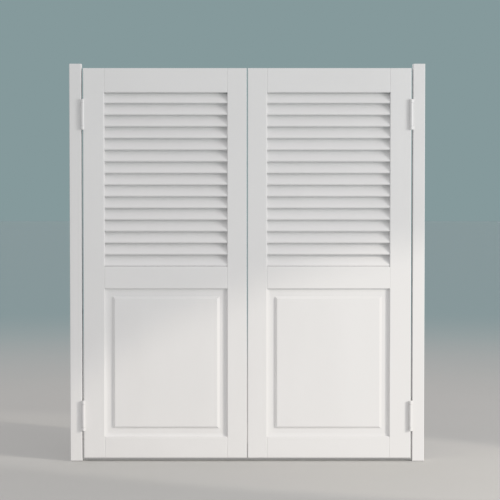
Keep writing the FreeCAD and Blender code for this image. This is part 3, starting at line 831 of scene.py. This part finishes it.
class CAFEDOORS_OT_studio(Operator):
    """Set the floor, the lights and the camera"""

    bl_idname = "cafe_doors.studio"
    bl_label = "Studio"

    def execute(self, context):
        studio = context.scene.cafe_door_studio
        self.lay_floor(context, studio)
        self.hang_lights(context, studio)
        self.set_camera(context, studio)
        return {"FINISHED"}

    def lay_floor(self, context, studio):
        """A wide flat floor just under the strips, pale by the doors and like the backdrop far off."""
        reach, drop = 30.0, 0.5 * MM
        fade_from, fade_to = 1.2, 5.5
        darkest = 0.97  # of the floor's own colour, where it is mottled
        horizon_match = 0.94  # of backdrop over fill, where a far floor looks as bright as the backdrop
        mesh = bpy.data.meshes.new("floor")
        quarters = ((-1, -1), (1, -1), (1, 1), (-1, 1))
        mesh.from_pydata([(x * reach, y * reach, -drop) for x, y in quarters], [], [(0, 1, 2, 3)])
        material, tree, shader, place = new_material("floor_finish")
        mottle = noise(tree, place, scale=3.0, detail=4.0)
        pale = (*studio.floor_colour, 1.0)
        darker = (*(value * darkest for value in studio.floor_colour), 1.0)
        far = (*(horizon_match * value / studio.fill for value in studio.backdrop), 1.0)
        away = shader_node(tree, "ShaderNodeVectorMath", {0: place}, operation="LENGTH")
        fade = ramp(tree, away.outputs["Value"], fade_from, fade_to, interpolation_type="SMOOTHSTEP")
        near = blend_colours(tree, mottle, pale, darker)
        tree.links.new(blend_colours(tree, fade, near, far), shader.inputs["Base Color"])
        shader.inputs["Roughness"].default_value = 0.8
        shader.inputs["Specular IOR Level"].default_value = 0.1
        mesh.materials.append(material)
        floor = bpy.data.objects.new("floor", mesh)
        context.scene.collection.objects.link(floor)

    def hang_lights(self, context, studio):
        """Light from all round, a wide key from the right and a soft beam from the upper right."""
        world = bpy.data.worlds.new("studio")
        world.use_nodes = True
        tree = world.node_tree
        tree.nodes.clear()
        seen = shader_node(tree, "ShaderNodeLightPath").outputs["Is Camera Ray"]
        tones = ((FILL_TINT, studio.fill), ((*studio.backdrop, 1.0), 1.0))
        all_round, behind = (
            shader_node(tree, "ShaderNodeBackground", {"Color": tone, "Strength": strength}).outputs[0]
            for tone, strength in tones
        )
        mixed = shader_node(tree, "ShaderNodeMixShader", {0: seen, 1: all_round, 2: behind})
        leaving = tree.nodes.new("ShaderNodeOutputWorld")
        tree.links.new(mixed.outputs[0], leaving.inputs["Surface"])
        context.scene.world = world
        context.scene.view_settings.view_transform = "Khronos PBR Neutral"
        key = bpy.data.lights.new("key", "AREA")
        key.size = KEY_SIZE
        self.place_lamp(context, key, studio.key_power, KEY_TINT, KEY_PLACE, KEY_TARGET)
        beam = bpy.data.lights.new("beam", "SPOT")
        beam.spot_size = BEAM_ANGLE
        beam.spot_blend = BEAM_BLEND
        beam.shadow_soft_size = BEAM_RADIUS
        self.place_lamp(context, beam, studio.beam_power, BEAM_TINT, BEAM_PLACE, BEAM_TARGET)

    def place_lamp(self, context, light, watts, tint, place, target):
        """Hangs a lamp that lights the scene and isn't itself seen."""
        light.energy = watts
        light.color = tint
        lamp = bpy.data.objects.new(light.name, light)
        lamp.location = place
        lamp.visible_camera = False
        context.scene.collection.objects.link(lamp)
        aim(lamp, target)

    def set_camera(self, context, studio):
        """A far camera that looks slightly down on the doors."""
        data = bpy.data.cameras.new("camera")
        data.sensor_width = 36.0
        data.lens = data.sensor_width * studio.distance / studio.frame_width
        data.clip_end = 100.0
        camera = bpy.data.objects.new("camera", data)
        target = np.array([studio.aim_x, 0.0, studio.aim_z])
        back = np.array([0.0, -math.cos(studio.pitch), math.sin(studio.pitch)])
        camera.location = target + studio.distance * back
        context.scene.collection.objects.link(camera)
        aim(camera, target)
        context.scene.camera = camera


class CAFEDOORS_PT_sidebar(Panel):
    """Sizes, colours and steps of the cafe doors"""

    bl_idname = "CAFEDOORS_PT_sidebar"
    bl_label = "Cafe Doors"
    bl_space_type = "VIEW_3D"
    bl_region_type = "UI"
    bl_category = "Cafe Doors"

    def draw(self, context):
        for label, (key, kind) in SETTINGS.items():
            box = self.layout.box()
            box.label(text=label)
            settings = getattr(context.scene, key)
            for prop in kind.__annotations__:
                box.prop(settings, prop)
        for operator in OPERATORS:
            self.layout.operator(operator.bl_idname)


SETTINGS = {
    "Paint": ("cafe_door_paint", CafeDoorPaint),
    "Slats": ("cafe_door_slats", CafeDoorSlats),
    "Panels": ("cafe_door_panels", CafeDoorPanels),
    "Hardware": ("cafe_door_hardware", CafeDoorHardware),
    "Studio": ("cafe_door_studio", CafeDoorStudio),
}
OPERATORS = (
    CAFEDOORS_OT_frames,
    CAFEDOORS_OT_strips,
    CAFEDOORS_OT_slats,
    CAFEDOORS_OT_panels,
    CAFEDOORS_OT_hinges,
    CAFEDOORS_OT_screws,
    CAFEDOORS_OT_springs,
    CAFEDOORS_OT_studio,
)


def register():
    """Registers the settings, the operators and the panel."""
    for key, kind in SETTINGS.values():
        bpy.utils.register_class(kind)
        setattr(bpy.types.Scene, key, PointerProperty(type=kind))
    for kind in (*OPERATORS, CAFEDOORS_PT_sidebar):
        bpy.utils.register_class(kind)


def unregister():
    """Undoes register, last things first."""
    for kind in (CAFEDOORS_PT_sidebar, *reversed(OPERATORS)):
        bpy.utils.unregister_class(kind)
    for key, kind in reversed(SETTINGS.values()):
        delattr(bpy.types.Scene, key)
        bpy.utils.unregister_class(kind)


def main():
    """Makes everything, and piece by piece."""
    register()
    for operator in OPERATORS:
        step = operator.bl_idname.split(".")[1]
        getattr(bpy.ops.cafe_doors, step)()


if __name__ == "__main__":
    main()
